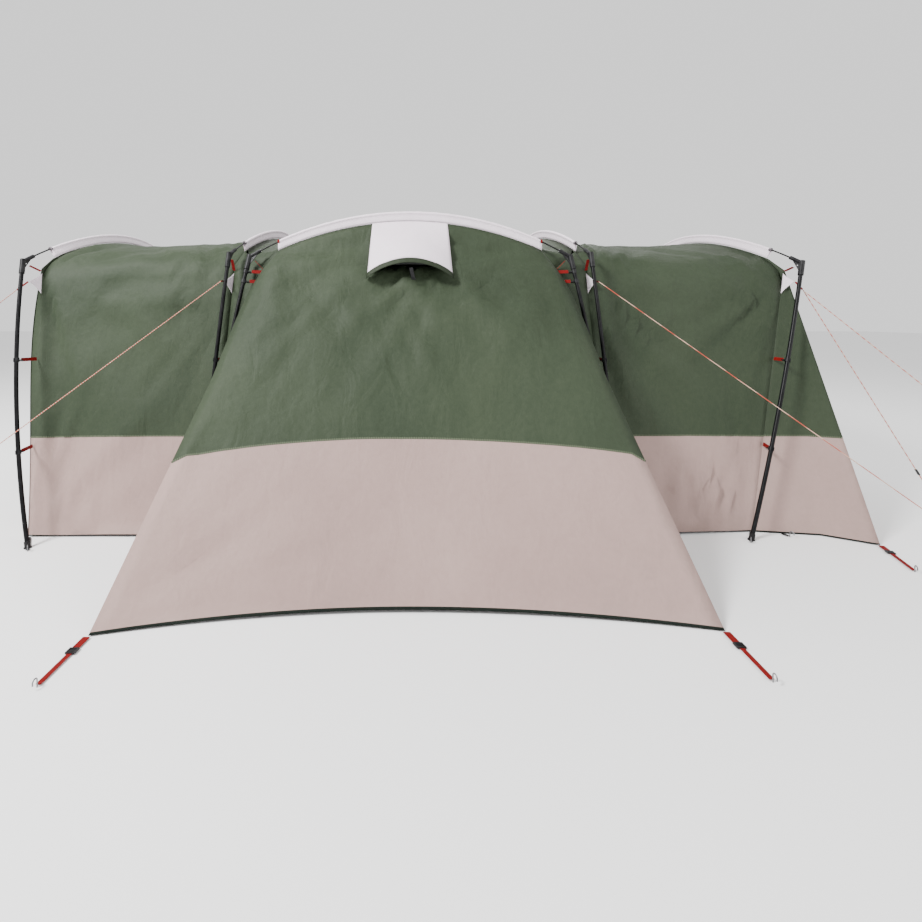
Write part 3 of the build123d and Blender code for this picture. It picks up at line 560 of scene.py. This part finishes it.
def wing(name, left, right, pins):
    """One wing's cloth, from the front hem over the roof to the rear hem."""
    profile = [("wall", -1, share) for share in WALL_SHARES[:-1]]
    profile += [("roof", 0, y) for y in spread(ROOF_ROWS, -SHOULDER_Y, SHOULDER_Y)]
    profile += [("wall", 1, share) for share in reversed(WALL_SHARES[:-1])]
    rows = []
    for kind, side, value in profile:
        if kind == "wall":
            a, b = left.wall(side, value), right.wall(side, value)
        else:
            a, b = left.roof(value), right.roof(value)
        row = []
        for t in spread(WING_COLUMNS, 0.001, 0.999):
            p = a.lerp(b, t)
            sag = 4 * t * (1 - t)
            if kind == "wall":
                lift = HEM_HEIGHT + HEM_ARCH * sag * (1 - value) if value < 0.02 else 0.0
                p += Vector((0, -side * WALL_HOLLOW * sag * 4 * value * (1 - value), 0))
                p.z = max(p.z, lift)
            else:
                inward = smooth_step((SHOULDER_Y - abs(value)) / ROOF_SAG_START)
                p.z -= ROOF_SAG * sag * inward
            row.append(p)
        rows.append(row)
    kinds = []
    for r in range(len(rows) - 1):
        steps = min(r, len(rows) - 2 - r)
        green = steps >= BINDING_ROWS + SKIRT_ROWS
        kinds.append(IN_GREEN if green else IN_SKIRT if steps >= BINDING_ROWS else IN_BINDING)
    obj = cloth_mesh(f"{name}_wing_cloth", rows, PANEL, kinds, pins, billow=0.026,
                     fold=0.075, soften=3, keep=16, edge=0.05)
    felled_seams(obj, WING_COLUMNS + 1, kinds)
    declare(obj, TENT, (f"{name}_front_wall", f"{name}_roof", f"{name}_rear_wall"))


def pod_seam(column):
    """Share down the front slope at which the green cloth meets the skirt."""
    height = POD_SEAM_EDGE + (POD_SEAM_MIDDLE - POD_SEAM_EDGE) * (1 - column ** 2)
    height -= SEAM_FLAP * smooth_step((abs(column) - 0.94) / 0.05)
    top = front_roof(column * FRONT_SHOULDER.x).z
    return (top - height) / top


def make_pod_slope():
    """Front slope with the mesh opening, its green part and its skirt."""
    down = spread(2, 0.002, VENT_TOP) + spread(6, VENT_TOP, VENT_BOTTOM)[1:]
    columns = spread(10, -1, -VENT_SIDE) + spread(5, -VENT_SIDE, -VENT_SHARE)[1:]
    columns += spread(10, -VENT_SHARE, VENT_SHARE)[1:]
    columns += spread(5, VENT_SHARE, VENT_SIDE)[1:] + spread(10, VENT_SIDE, 1)[1:]
    green_rows, skirt_rows = POD_ROWS
    binding = 1 - BINDING / POD_HEIGHT
    rows = []
    for i in range(len(down) + green_rows + skirt_rows + 1):
        row = []
        for column in columns:
            seam = pod_seam(column)
            if i < len(down):
                share = down[i]
            elif i < len(down) + green_rows:
                step = i - len(down) + 1
                share = VENT_BOTTOM + (seam - VENT_BOTTOM) * step / green_rows
            elif i < len(down) + green_rows + skirt_rows:
                step = i - len(down) - green_rows + 1
                share = seam + (binding - seam) * step / skirt_rows
            else:
                share = 1.0
            p = pod_slope(column, share)
            hollow = POD_HOLLOW * 4 * share * (1 - share) * (1 - column ** 2)
            row.append(p + Vector((0, hollow * 0.88, -hollow * 0.47)))
        rows.append(row)
    last_green = len(down) + green_rows - 1
    kinds = [IN_GREEN if r < last_green else IN_SKIRT if r < len(rows) - 2 else IN_BINDING
             for r in range(len(rows) - 1)]
    first_open, last_open = 2, len(down) - 2
    left_open = columns.index(min(columns, key=lambda c: abs(c + VENT_SHARE)))
    right_open = columns.index(min(columns, key=lambda c: abs(c - VENT_SHARE)))
    rows = [row[::-1] for row in rows]
    wide = len(columns)

    def open_cell(r, c):
        inside = wide - 1 - right_open <= c < wide - 1 - left_open
        return first_open <= r <= last_open and inside

    pins = [POD_CORNERS[-1], POD_CORNERS[1], pod_slope(-VENT_SHARE, 0.1),
            pod_slope(VENT_SHARE, 0.1), pod_slope(-0.9, 0.0), pod_slope(0.9, 0.0)]
    obj = cloth_mesh("front_slope_cloth", rows, PANEL, kinds, pins, billow=0.026, fold=0.055,
                     open_cell=open_cell, edge=0.06)
    felled_seams(obj, wide, kinds)
    declare(obj, TENT, ("front_pod_slope",))


def down_shares(seam, green, skirt, start=0.002):
    """Shares from top to hem with rows exactly at the seam and at the hem's binding."""
    hem = 1 - BINDING / GORE_HEIGHT
    return spread(green, start, seam) + spread(skirt, seam, hem)[1:] + [1.0]


def gore(name, top, near, bend, far, seams, nodes, pins, swell=None):
    """Three-cornered side panel, from the shoulder to its hem; seams gives the seam's
    height at the near and the far edge, swell how far the far edge bellies out."""
    green, skirt = GORE_ROWS
    columns = spread(12)
    grid = []
    for t in columns:
        seam = seams[0] + (seams[1] - seams[0]) * t
        line = []
        for share in down_shares(1 - seam / top.z, green, skirt):
            a, m, b = top.lerp(near, share), top.lerp(bend, share), top.lerp(far, share)
            p = a.lerp(m, t * 2) if t < 0.5 else m.lerp(b, t * 2 - 1)
            if swell:
                p += swell(share) * t
            p.z = max(p.z, GROUND_LIFT)
            line.append(p)
        grid.append(line)
    rows = [list(row) for row in zip(*grid)]
    kinds = [IN_GREEN] * green + [IN_SKIRT] * skirt + [IN_BINDING]
    obj = cloth_mesh(name, rows, PANEL, kinds, pins, billow=0.006, fold=0.010, edge=0.12)
    felled_seams(obj, len(columns), kinds)
    declare(obj, TENT, nodes)


def make_corner_panel(side):
    """Narrow panel between an inner arch's seam and the front arch's."""
    line = lines["left_inner" if side < 0 else "right_inner"]
    top_far = Vector((side * FRONT_SHOULDER.x, FRONT_Y, FRONT_SHOULDER.z))
    hem_far = Vector((side * FRONT_HEM.x, FRONT_HEM.y, 0))
    green, skirt = GORE_ROWS
    wing_share = WING_SEAM / WALL_HEIGHT
    grid = []
    for t in spread(8):
        seam = wing_share + (POD_SEAM_EDGE / FRONT_SHOULDER.z - wing_share) * t
        column = []
        for share in down_shares(1 - seam, green, skirt, 0.0):
            p = line.wall(-1, 1 - share).lerp(hem_far.lerp(top_far, 1 - share), t)
            column.append(Vector((p.x, p.y, max(p.z, GROUND_LIFT))))
        for y in spread(CORNER_RIDGE_ROWS, -SHOULDER_Y, CORNER_RIDGE_Y)[1:]:
            column.insert(0, line.roof(y).lerp(top_far, t))
        grid.append(column)
    rows = [list(row) for row in zip(*grid)]
    kinds = [IN_GREEN] * (green + CORNER_RIDGE_ROWS) + [IN_SKIRT] * skirt + [IN_BINDING]
    word = "left" if side < 0 else "right"
    obj = cloth_mesh(f"front_corner_{word}", rows, PANEL, kinds, billow=0.006)
    nodes = ("front_corner_panels",) if side < 0 else ()
    declare(obj, TENT, nodes)


def make_centre_roof():
    """Saddle between the inner arches, open in front to the front arch's seam."""
    left, right = lines["left_inner"], lines["right_inner"]
    shares = spread(48)
    front = [front_roof((t * 2 - 1) * FRONT_SHOULDER.x) for t in shares]
    rows = [front]
    for y in spread(32, CENTRE_START_Y, SHOULDER_Y):
        a, b = left.roof(y), right.roof(y)
        ahead, behind = max(0.0, -y / SHOULDER_Y), max(0.0, y / SHOULDER_Y)
        row = []
        for i, t in enumerate(shares):
            p = a.lerp(b, t)
            bulge = 4 * t * (1 - t)
            lift = (front[i].z - p.z) * ahead ** 2 * bulge
            drop = CENTRE_SAG * bulge * (1 - ahead) * (1 - behind)
            row.append(p + Vector((0, 0, lift - drop)))
        rows.append(row)
    obj = cloth_mesh("centre_roof_cloth", rows, [GREEN], 0, billow=0.012, soften=1)
    declare(obj, TENT, ("centre_roof",))


def make_end_slope():
    """Sloping right end, from the end arch down to the ground."""
    line = lines["right_end"]
    rows = []
    green, skirt = END_ROWS
    for i in range(green + skirt + 2):
        row = []
        for y in spread(END_COLUMNS, -SHOULDER_Y, SHOULDER_Y):
            top = line.roof(y) + Vector((0.006, 0, 0))
            hem = Vector((END_CORNER.x, y / SHOULDER_Y * abs(END_CORNER.y), GROUND_LIFT))
            share = down_shares(1 - END_SEAM / top.z, green, skirt)[i]
            p = top.lerp(hem, share)
            hollow = END_HOLLOW * 4 * share * (1 - share) * (1 - (y / SHOULDER_Y) ** 2)
            row.append(p - Vector((hollow, 0, 0)))
        rows.append(row)
    kinds = [IN_GREEN] * green + [IN_SKIRT] * skirt + [IN_BINDING]
    obj = cloth_mesh("right_end_cloth", rows, PANEL, kinds,
                     [END_CORNER, Vector((END_CORNER.x, -END_CORNER.y, 0))], billow=0.014,
                     fold=0.014, edge=0.06)
    felled_seams(obj, END_COLUMNS + 1, kinds)
    declare(obj, TENT, ("right_end_slope",))


def door_half(height):
    """Half width of the doorway at a height, by straight stretches between its corners."""
    for (low, a), (high, b) in zip(DOOR_ROWS, DOOR_ROWS[1:]):
        if height <= high:
            return a + (b - a) * max(0.0, height - low) / (high - low)
    return DOOR_ROWS[-1][1]


SILL, STRAIGHT_TOP, HAUNCH, CROWN = (height for height, half in DOOR_ROWS)
DOOR_HEIGHTS = spread(5, SILL, WING_SEAM) + spread(9, WING_SEAM, STRAIGHT_TOP)[1:]
DOOR_HEIGHTS += spread(3, STRAIGHT_TOP, HAUNCH)[1:] + spread(2, HAUNCH, CROWN)[1:]


def door_columns(half, limit):
    """Places across a wall: from its edge to the doorway, over it, and to the other edge."""
    before = spread(DOOR_SIDE_COLUMNS, -limit, -half)
    after = spread(DOOR_SIDE_COLUMNS, half, limit)
    return before + spread(DOOR_COLUMNS, -half, half)[1:-1] + after


def door_wall(name, place, edge, top, crown, nodes):
    """Wall with a doorway; crown gives the arched rows above the wall's straight part."""
    heights = [GROUND_LIFT, GROUND_LIFT + BINDING, 0.09] + DOOR_HEIGHTS + [1.60, top]
    rows = []
    for height in heights:
        half, limit = door_half(height), edge(height)
        rows.append([place(y, height) for y in door_columns(half, limit)])
    rows += crown
    first = heights.index(DOOR_HEIGHTS[0])
    last = heights.index(DOOR_HEIGHTS[-1]) - 1
    seam_row = heights.index(WING_SEAM)
    kinds = [IN_BINDING if r < BINDING_ROWS else IN_SKIRT if r < seam_row else IN_GREEN
             for r in range(len(rows) - 1)]

    def open_cell(r, c):
        inside = DOOR_SIDE_COLUMNS <= c < DOOR_SIDE_COLUMNS + DOOR_COLUMNS
        return first <= r <= last and inside

    obj = cloth_mesh(name, rows, PANEL, kinds, open_cell=open_cell)
    declare(obj, TENT, nodes)


def door_flap(name, place, body, node):
    """Door of cloth with its skirt, and the zip's two tapes round its edge."""
    heights = [DOOR_HEIGHTS[0] + DOOR_GAP] + DOOR_HEIGHTS[1:-1]
    heights.append(DOOR_HEIGHTS[-1] - DOOR_GAP)
    rows = []
    for h in heights:
        half = door_half(h) - DOOR_GAP
        rows.append([place(y, h) for y in spread(20, -half, half)])
    kinds = [IN_SKIRT if heights[r] < WING_SEAM - 0.001 else IN_GREEN
             for r in range(len(rows) - 1)]
    obj = cloth_mesh(name, rows, [GREEN, SKIRT], kinds, billow=0.004, edge=0.15)
    declare(obj, body, (node,))
    rim = [(h, -door_half(h)) for h in heights]
    rim += [(h, door_half(h)) for h in reversed(heights)]
    for word, inset, owner in (("tape_in", DOOR_GAP + ZIP_TAPE_INSET, body),
                               ("tape_out", -ZIP_TAPE_INSET, TENT)):
        points = [place(y + (inset if y < 0 else -inset), h) for h, y in rim]
        tape = flat_strip(f"{name}_{word}", points, ZIP_TAPE_WIDTH, ZIP_TAPE_THICK, BLACK_WEB,
                          place_normal(place))
        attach(tape, owner)


def place_normal(place):
    """Direction square to a wall that is given by its place function."""
    across = place(0.1, 0.5) - place(-0.1, 0.5)
    up = place(0, 0.8) - place(0, 0.5)
    return across.cross(up).normalized()


def flat_strip(name, points, width, thick, material, normal):
    """Tape that follows points; its width lies across them, square to normal."""
    count = len(points)
    vertices = []
    for i, p in enumerate(points):
        run = points[min(i + 1, count - 1)] - points[max(i - 1, 0)]
        n = normal if isinstance(normal, Vector) else normal(i)
        side = run.cross(n).normalized() * width / 2
        lift = n.normalized() * thick / 2
        middle = MID + p
        vertices += [middle + side + lift, middle - side + lift,
                     middle - side - lift, middle + side - lift]
    faces = [(3, 2, 1, 0), tuple((count - 1) * 4 + k for k in range(4))]
    for i in range(count - 1):
        for k in range(4):
            j = (k + 1) % 4
            faces.append((i * 4 + k, i * 4 + j, (i + 1) * 4 + j, (i + 1) * 4 + k))
    mesh = bpy.data.meshes.new(name)
    mesh.from_pydata([tuple(v) for v in vertices], [], faces)
    mesh.materials.append(material)
    obj = bpy.data.objects.new(name, mesh)
    bpy.context.collection.objects.link(obj)
    return obj


LEFT_WALL_OUT, REAR_WALL_OUT = 0.007, 0.0035


def left_wall_place(y, height):
    """Point of the left end wall; only its outer parts follow the swell of its edge."""
    line = lines["left_end"]
    share = height / line.shoulder_z
    limit = abs(line.chord(1, share).y)
    follow = line.swell(share) * smooth_step((abs(y) - WALL_HOLD) / (limit - WALL_HOLD))
    x = line.hem_x + (line.shoulder_x - line.hem_x) * share - LEFT_WALL_OUT + follow
    return Vector((x, y, height))


def rear_wall_place(x, height):
    """Point of the centre's rear wall; x counts to the right as seen from behind."""
    line = lines["left_inner"]
    y = line.hem_y + (SHOULDER_Y - line.hem_y) * height / line.shoulder_z
    return Vector((-x, y + REAR_WALL_OUT, height))


def make_walls_with_doors():
    line = lines["left_end"]
    crown = []
    for share in spread(4)[1:]:
        row = []
        for y in door_columns(DOOR_ROWS[-1][1], SHOULDER_Y - 0.004):
            low = Vector((line.shoulder_x, y, line.shoulder_z))
            row.append(low.lerp(line.roof(y), share * 0.995) - Vector((LEFT_WALL_OUT, 0, 0)))
        crown.append(row)
    door_wall("left_end_cloth", left_wall_place,
              lambda h: abs(line.wall(1, h / line.shoulder_z).y) - 0.002, line.shoulder_z,
              crown, ("left_end_wall",))
    inner = lines["left_inner"]
    door_wall("centre_rear_cloth", rear_wall_place,
              lambda h: abs(inner.wall(1, h / inner.shoulder_z).x) - 0.002,
              inner.shoulder_z - 0.002, [], ("centre_rear_wall",))
    door_flap("left_door_cloth", left_wall_place, "left_door", "left_end_door")
    door_flap("rear_door_cloth", rear_wall_place, "rear_door_flap", "rear_door")


# --- Sleeves, vent and trim ------------------------------------------------------------

FIN_HALF, FIN_SHARES = 0.0012, (0.04, 0.35, 0.7)


def sleeve_frame(rod_point, seam_point, across, t):
    """Rod and seam points at t, the way from rod to seam, and the way across the fin."""
    rod, seam = rod_point(t), seam_point(t)
    down = (seam - rod).normalized()
    return rod, seam, down, (across - down * across.dot(down)).normalized()


def make_sleeve(name, rod_point, seam_point, span, across):
    """Tunnel round the rod with puckers, closing to a fin that is sewn to the roof."""
    rows = []
    ring = 18
    for t in spread(90, -span, span):
        rod, seam, down, side = sleeve_frame(rod_point, seam_point, across, t)
        pucker = 0.0016 * noise.noise(Vector((t * 26.0, 0, 4)))
        pucker += 0.0010 * noise.noise(Vector((t * 61.0, 2, 1)))
        radius = SLEEVE_RADIUS + pucker
        row = []
        for k in range(ring + 1):
            angle = SLEEVE_OPENING + (2 * pi - SLEEVE_OPENING * 2) * k / ring
            row.append(rod + down * (cos(angle) * radius) + side * (sin(angle) * radius))
        lean = 0.0015 * noise.noise(Vector((t * 9.0, 7, 3)))
        first = [seam.lerp(row[0], s) + side * (FIN_HALF + lean * sin(pi * s))
                 for s in FIN_SHARES]
        last = [seam.lerp(row[-1], s) + side * (-FIN_HALF + lean * sin(pi * s))
                for s in reversed(FIN_SHARES)]
        rows.append(first + row + last)
    obj = cloth_mesh(f"{name}_sleeve_cloth", rows, [BEIGE], 0, thick=SLEEVE_THICK)
    declare(obj, TENT, ("pole_sleeves",) if name == "front" else ())
    for word, t in (("a", -span), ("b", span)):
        rod, seam, down, side = sleeve_frame(rod_point, seam_point, across, t * 0.995)
        loop = [rod + (down * cos(angle) + side * sin(angle)) * TIE_RADIUS
                for angle in spread(16, 0.15, 2 * pi - 0.15)]
        tape = (RED_WEB, "red_webbing") if name == "front" else (BLACK_WEB, "black_webbing")
        tie = flat_strip(f"{name}_sleeve_tie_{word}", loop, TIE_WIDTH, TIE_THICK, tape[0],
                         lambda i, loop=loop, rod=rod: loop[i] - rod)
        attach(tie, TENT)


def slope_normal():
    """Outward direction of the pod's front slope along its middle."""
    run = Vector((0, POD_HEM_MIDDLE_Y, 0)) - front_roof(0)
    return Vector((0, run.z, -run.y)).normalized()


def hood_point(x, v, extra=0.0):
    """Point of the vent hood: x across it, v from the ridge to its lip."""
    arch = 1 - (x / HOOD_HALF) ** 2
    end = HOOD_SIDE_END + (HOOD_MIDDLE_END - HOOD_SIDE_END) * arch
    flat = pod_slope(x / FRONT_SHOULDER.x, end * v)
    lift = 0.004 + HOOD_LIFT * arch ** 0.8 * smooth_step(v) ** 0.8 + extra
    return flat + slope_normal() * lift


def make_vent():
    """Beige hood with its green facing, over the net in the slope's opening."""
    across = spread(40, HOOD_HALF, -HOOD_HALF)
    rows = [[hood_point(x, v) for x in across] for v in spread(18)]
    obj = cloth_mesh("vent_hood_cloth", rows, [BEIGE], 0, billow=0.003, edge=0.08)
    declare(obj, TENT, ("vent_hood",))
    down = (pod_slope(0, 0.5) - pod_slope(0, 0.0)).normalized()
    facing = []
    for drop in spread(4, 0.0, FACING_WIDTH):
        row = []
        for x in across:
            lip = hood_point(x, 0.995, -0.0015) + down * drop
            row.append(Vector((lip.x * FACING_FLARE, lip.y, lip.z)))
        facing.append(row)
    band = cloth_mesh("vent_facing", facing, [DARK_GREEN], 0)
    declare(band, TENT, ())
    columns = spread(16, VENT_SHARE - 0.004, -VENT_SHARE + 0.004)
    back = slope_normal() * 0.006
    grid = [[pod_slope(c, s) - back for c in columns] for s in spread(8, VENT_TOP, VENT_BOTTOM)]
    mesh = cloth_mesh("vent_net_panel", grid, [MESH_NET], 0, thick=0.0008)
    declare(mesh, TENT, ("vent_mesh",))
    anchor = MID + pod_slope(0, 0.1)
    for piece in (obj, band):
        slope_normal()
        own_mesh(piece)


def make_guy_tabs():
    """Three-cornered guy tabs at the shoulders, with their two free edges drawn in."""
    for name, line in lines.items():
        outward = -1 if line.shoulder_x < 0 else 1
        for side, word in ((-1, "front"), (1, "rear")):
            upper = line.chord(side, TAB_TOP / line.shoulder_z)
            lower = line.chord(side, TAB_FOOT / line.shoulder_z)
            reach = Vector((outward * TAB_REACH[0], side * TAB_REACH[1], TAB_REACH[2]))
            tip = upper.lerp(lower, 0.5) + reach
            rows = []
            for s in spread(8, 0.0, 0.94):
                a, b = upper.lerp(tip, s), lower.lerp(tip, s)
                bow = (tip - upper.lerp(lower, 0.5)) * -0.10 * 4 * s * (1 - s)
                rows.append([a.lerp(b, t) + bow * abs(2 * t - 1) for t in spread(8)])
            obj = cloth_mesh(f"{name}_{word}_guy_tab", rows, [BEIGE], 0)
            nodes = ("guy_panels",) if (name, side) == ("left_end", -1) else ()
            declare(obj, TENT, nodes)


# --- Floor, light, CAD nodes ---------------------------------------------------------------

NODE_MATERIALS = (
    ("upright", STEEL_BLACK),
    ("roof_rod", ROD_BLACK),
    ("elbows", PLASTIC_BLACK),
    ("pole_feet", PLASTIC_BLACK),
    ("pole_clips", PLASTIC_BLACK),
    ("corner_buckles", PLASTIC_BLACK),
    ("vent_prop", PLASTIC_BLACK),
    ("runner", PLASTIC_BLACK),
    ("webbing_tabs", RED_WEB),
    ("foot_straps", BLACK_WEB),
    ("corner_straps", RED_WEB),
    ("pegs", PEG_STEEL),
    ("zip_slider", ZIP_METAL),
)


def dress_cad_nodes():
    """Each CAD node gets the material that its name asks for, where there is one."""
    for name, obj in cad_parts.items():
        for word, material in NODE_MATERIALS:
            if word in name:
                obj.data.materials.clear()
                obj.data.materials.append(material)
                break


FLOOR_HALF, FLOOR_Z, FLOOR_GREY, WORLD_STRENGTH = 40.0, -0.001, 0.84, 1.2
LIGHT_AIM = Vector((0, -0.5, 1.0))

# Name, place, size and power of each area light
LIGHTS = (
    ("key", (-5.5, -5.0, 7.0), 2.0, 1700.0),
    ("fill", (6.5, -5.0, 4.0), 5.0, 260.0),
    ("back", (0.5, 6.0, 6.5), 6.0, 500.0),
)


def make_studio():
    """Pale floor, even white surroundings and three area lights."""
    floor_mesh = bpy.data.meshes.new("studio_floor")
    corners = [(x * FLOOR_HALF, y * FLOOR_HALF, FLOOR_Z)
               for x, y in ((-1, -1), (1, -1), (1, 1), (-1, 1))]
    floor_mesh.from_pydata(corners, [], [(0, 1, 2, 3)])
    floor = bpy.data.objects.new("studio_floor", floor_mesh)
    bpy.context.collection.objects.link(floor)
    floor_mesh.materials.append(new_material("studio_floor", (FLOOR_GREY,) * 3, 0.9)[0])
    world = bpy.data.worlds.new("studio")
    world.use_nodes = True
    background = world.node_tree.nodes["Background"]
    background.inputs["Color"].default_value = (1, 1, 1, 1)
    background.inputs["Strength"].default_value = WORLD_STRENGTH
    bpy.context.scene.world = world
    for name, place, size, power in LIGHTS:
        data = bpy.data.lights.new(name, "AREA")
        data.size = size
        data.energy = power
        lamp = bpy.data.objects.new(name, data)
        bpy.context.collection.objects.link(lamp)
        lamp.location = MID + Vector(place)
        aim = MID + LIGHT_AIM - lamp.location
        lamp.rotation_euler = aim.to_track_quat("-Z", "Y").to_euler()


make_camera()
for guy, (guy_start, guy_ground) in GUYS.items():
    make_guy_line(guy, guy_start, guy_ground)

for wing_name in ("left", "right"):
    wing_end, wing_inner = lines[f"{wing_name}_end"], lines[f"{wing_name}_inner"]
    wing_sides = (wing_end, wing_inner) if wing_name == "left" else (wing_inner, wing_end)
    wing(wing_name, *wing_sides,
         [wing_end.wall(-1, 1.0), wing_end.wall(-1, 0.0), wing_inner.wall(-1, 0.92)])
make_centre_roof()
make_pod_slope()
for pod_side, pod_word in ((-1, "left"), (1, "right")):
    pod_top = Vector((pod_side * FRONT_SHOULDER.x, FRONT_Y - 0.002, FRONT_SHOULDER.z))
    pod_near = Vector((pod_side * FRONT_HEM.x, FRONT_HEM.y, 0))
    pod_far = POD_CORNERS[pod_side]
    pod_bend = pod_near.lerp(pod_far, 0.5) - Vector((pod_side * 0.012, 0, 0))
    gore(f"front_gore_{pod_word}", pod_top, pod_near, pod_bend, pod_far,
         (POD_SEAM_EDGE, POD_SEAM_EDGE - SEAM_FLAP), (f"front_pod_side_{pod_word}",),
         [pod_far],
         lambda share, side=pod_side: Vector((side * pod_swell(share), 0, 0)))
    make_corner_panel(pod_side)
make_end_slope()
for end_side, end_word in ((-1, "front"), (1, "rear")):
    end_line = lines["right_end"]
    end_bend = Vector((END_HEM_BEND.x, end_side * abs(END_HEM_BEND.y), 0))
    end_far = Vector((END_CORNER.x, end_side * abs(END_CORNER.y), 0))
    gore(f"right_end_gore_{end_word}", end_line.wall(end_side, 1.0),
         end_line.wall(end_side, 0.0), end_bend, end_far, (WING_SEAM, END_SEAM),
         ("right_end_sides",) if end_side < 0 else (), [end_far])
make_walls_with_doors()
for arch_name, arch_line in lines.items():
    make_sleeve(arch_name, arch_line.rod, arch_line.roof, SLEEVE_END, Vector((1, 0, 0)))
make_sleeve("front", front_rod, front_roof, FRONT_SLEEVE_END, Vector((0, 1, 0)))
make_vent()
make_guy_tabs()
dress_cad_nodes()
make_studio()
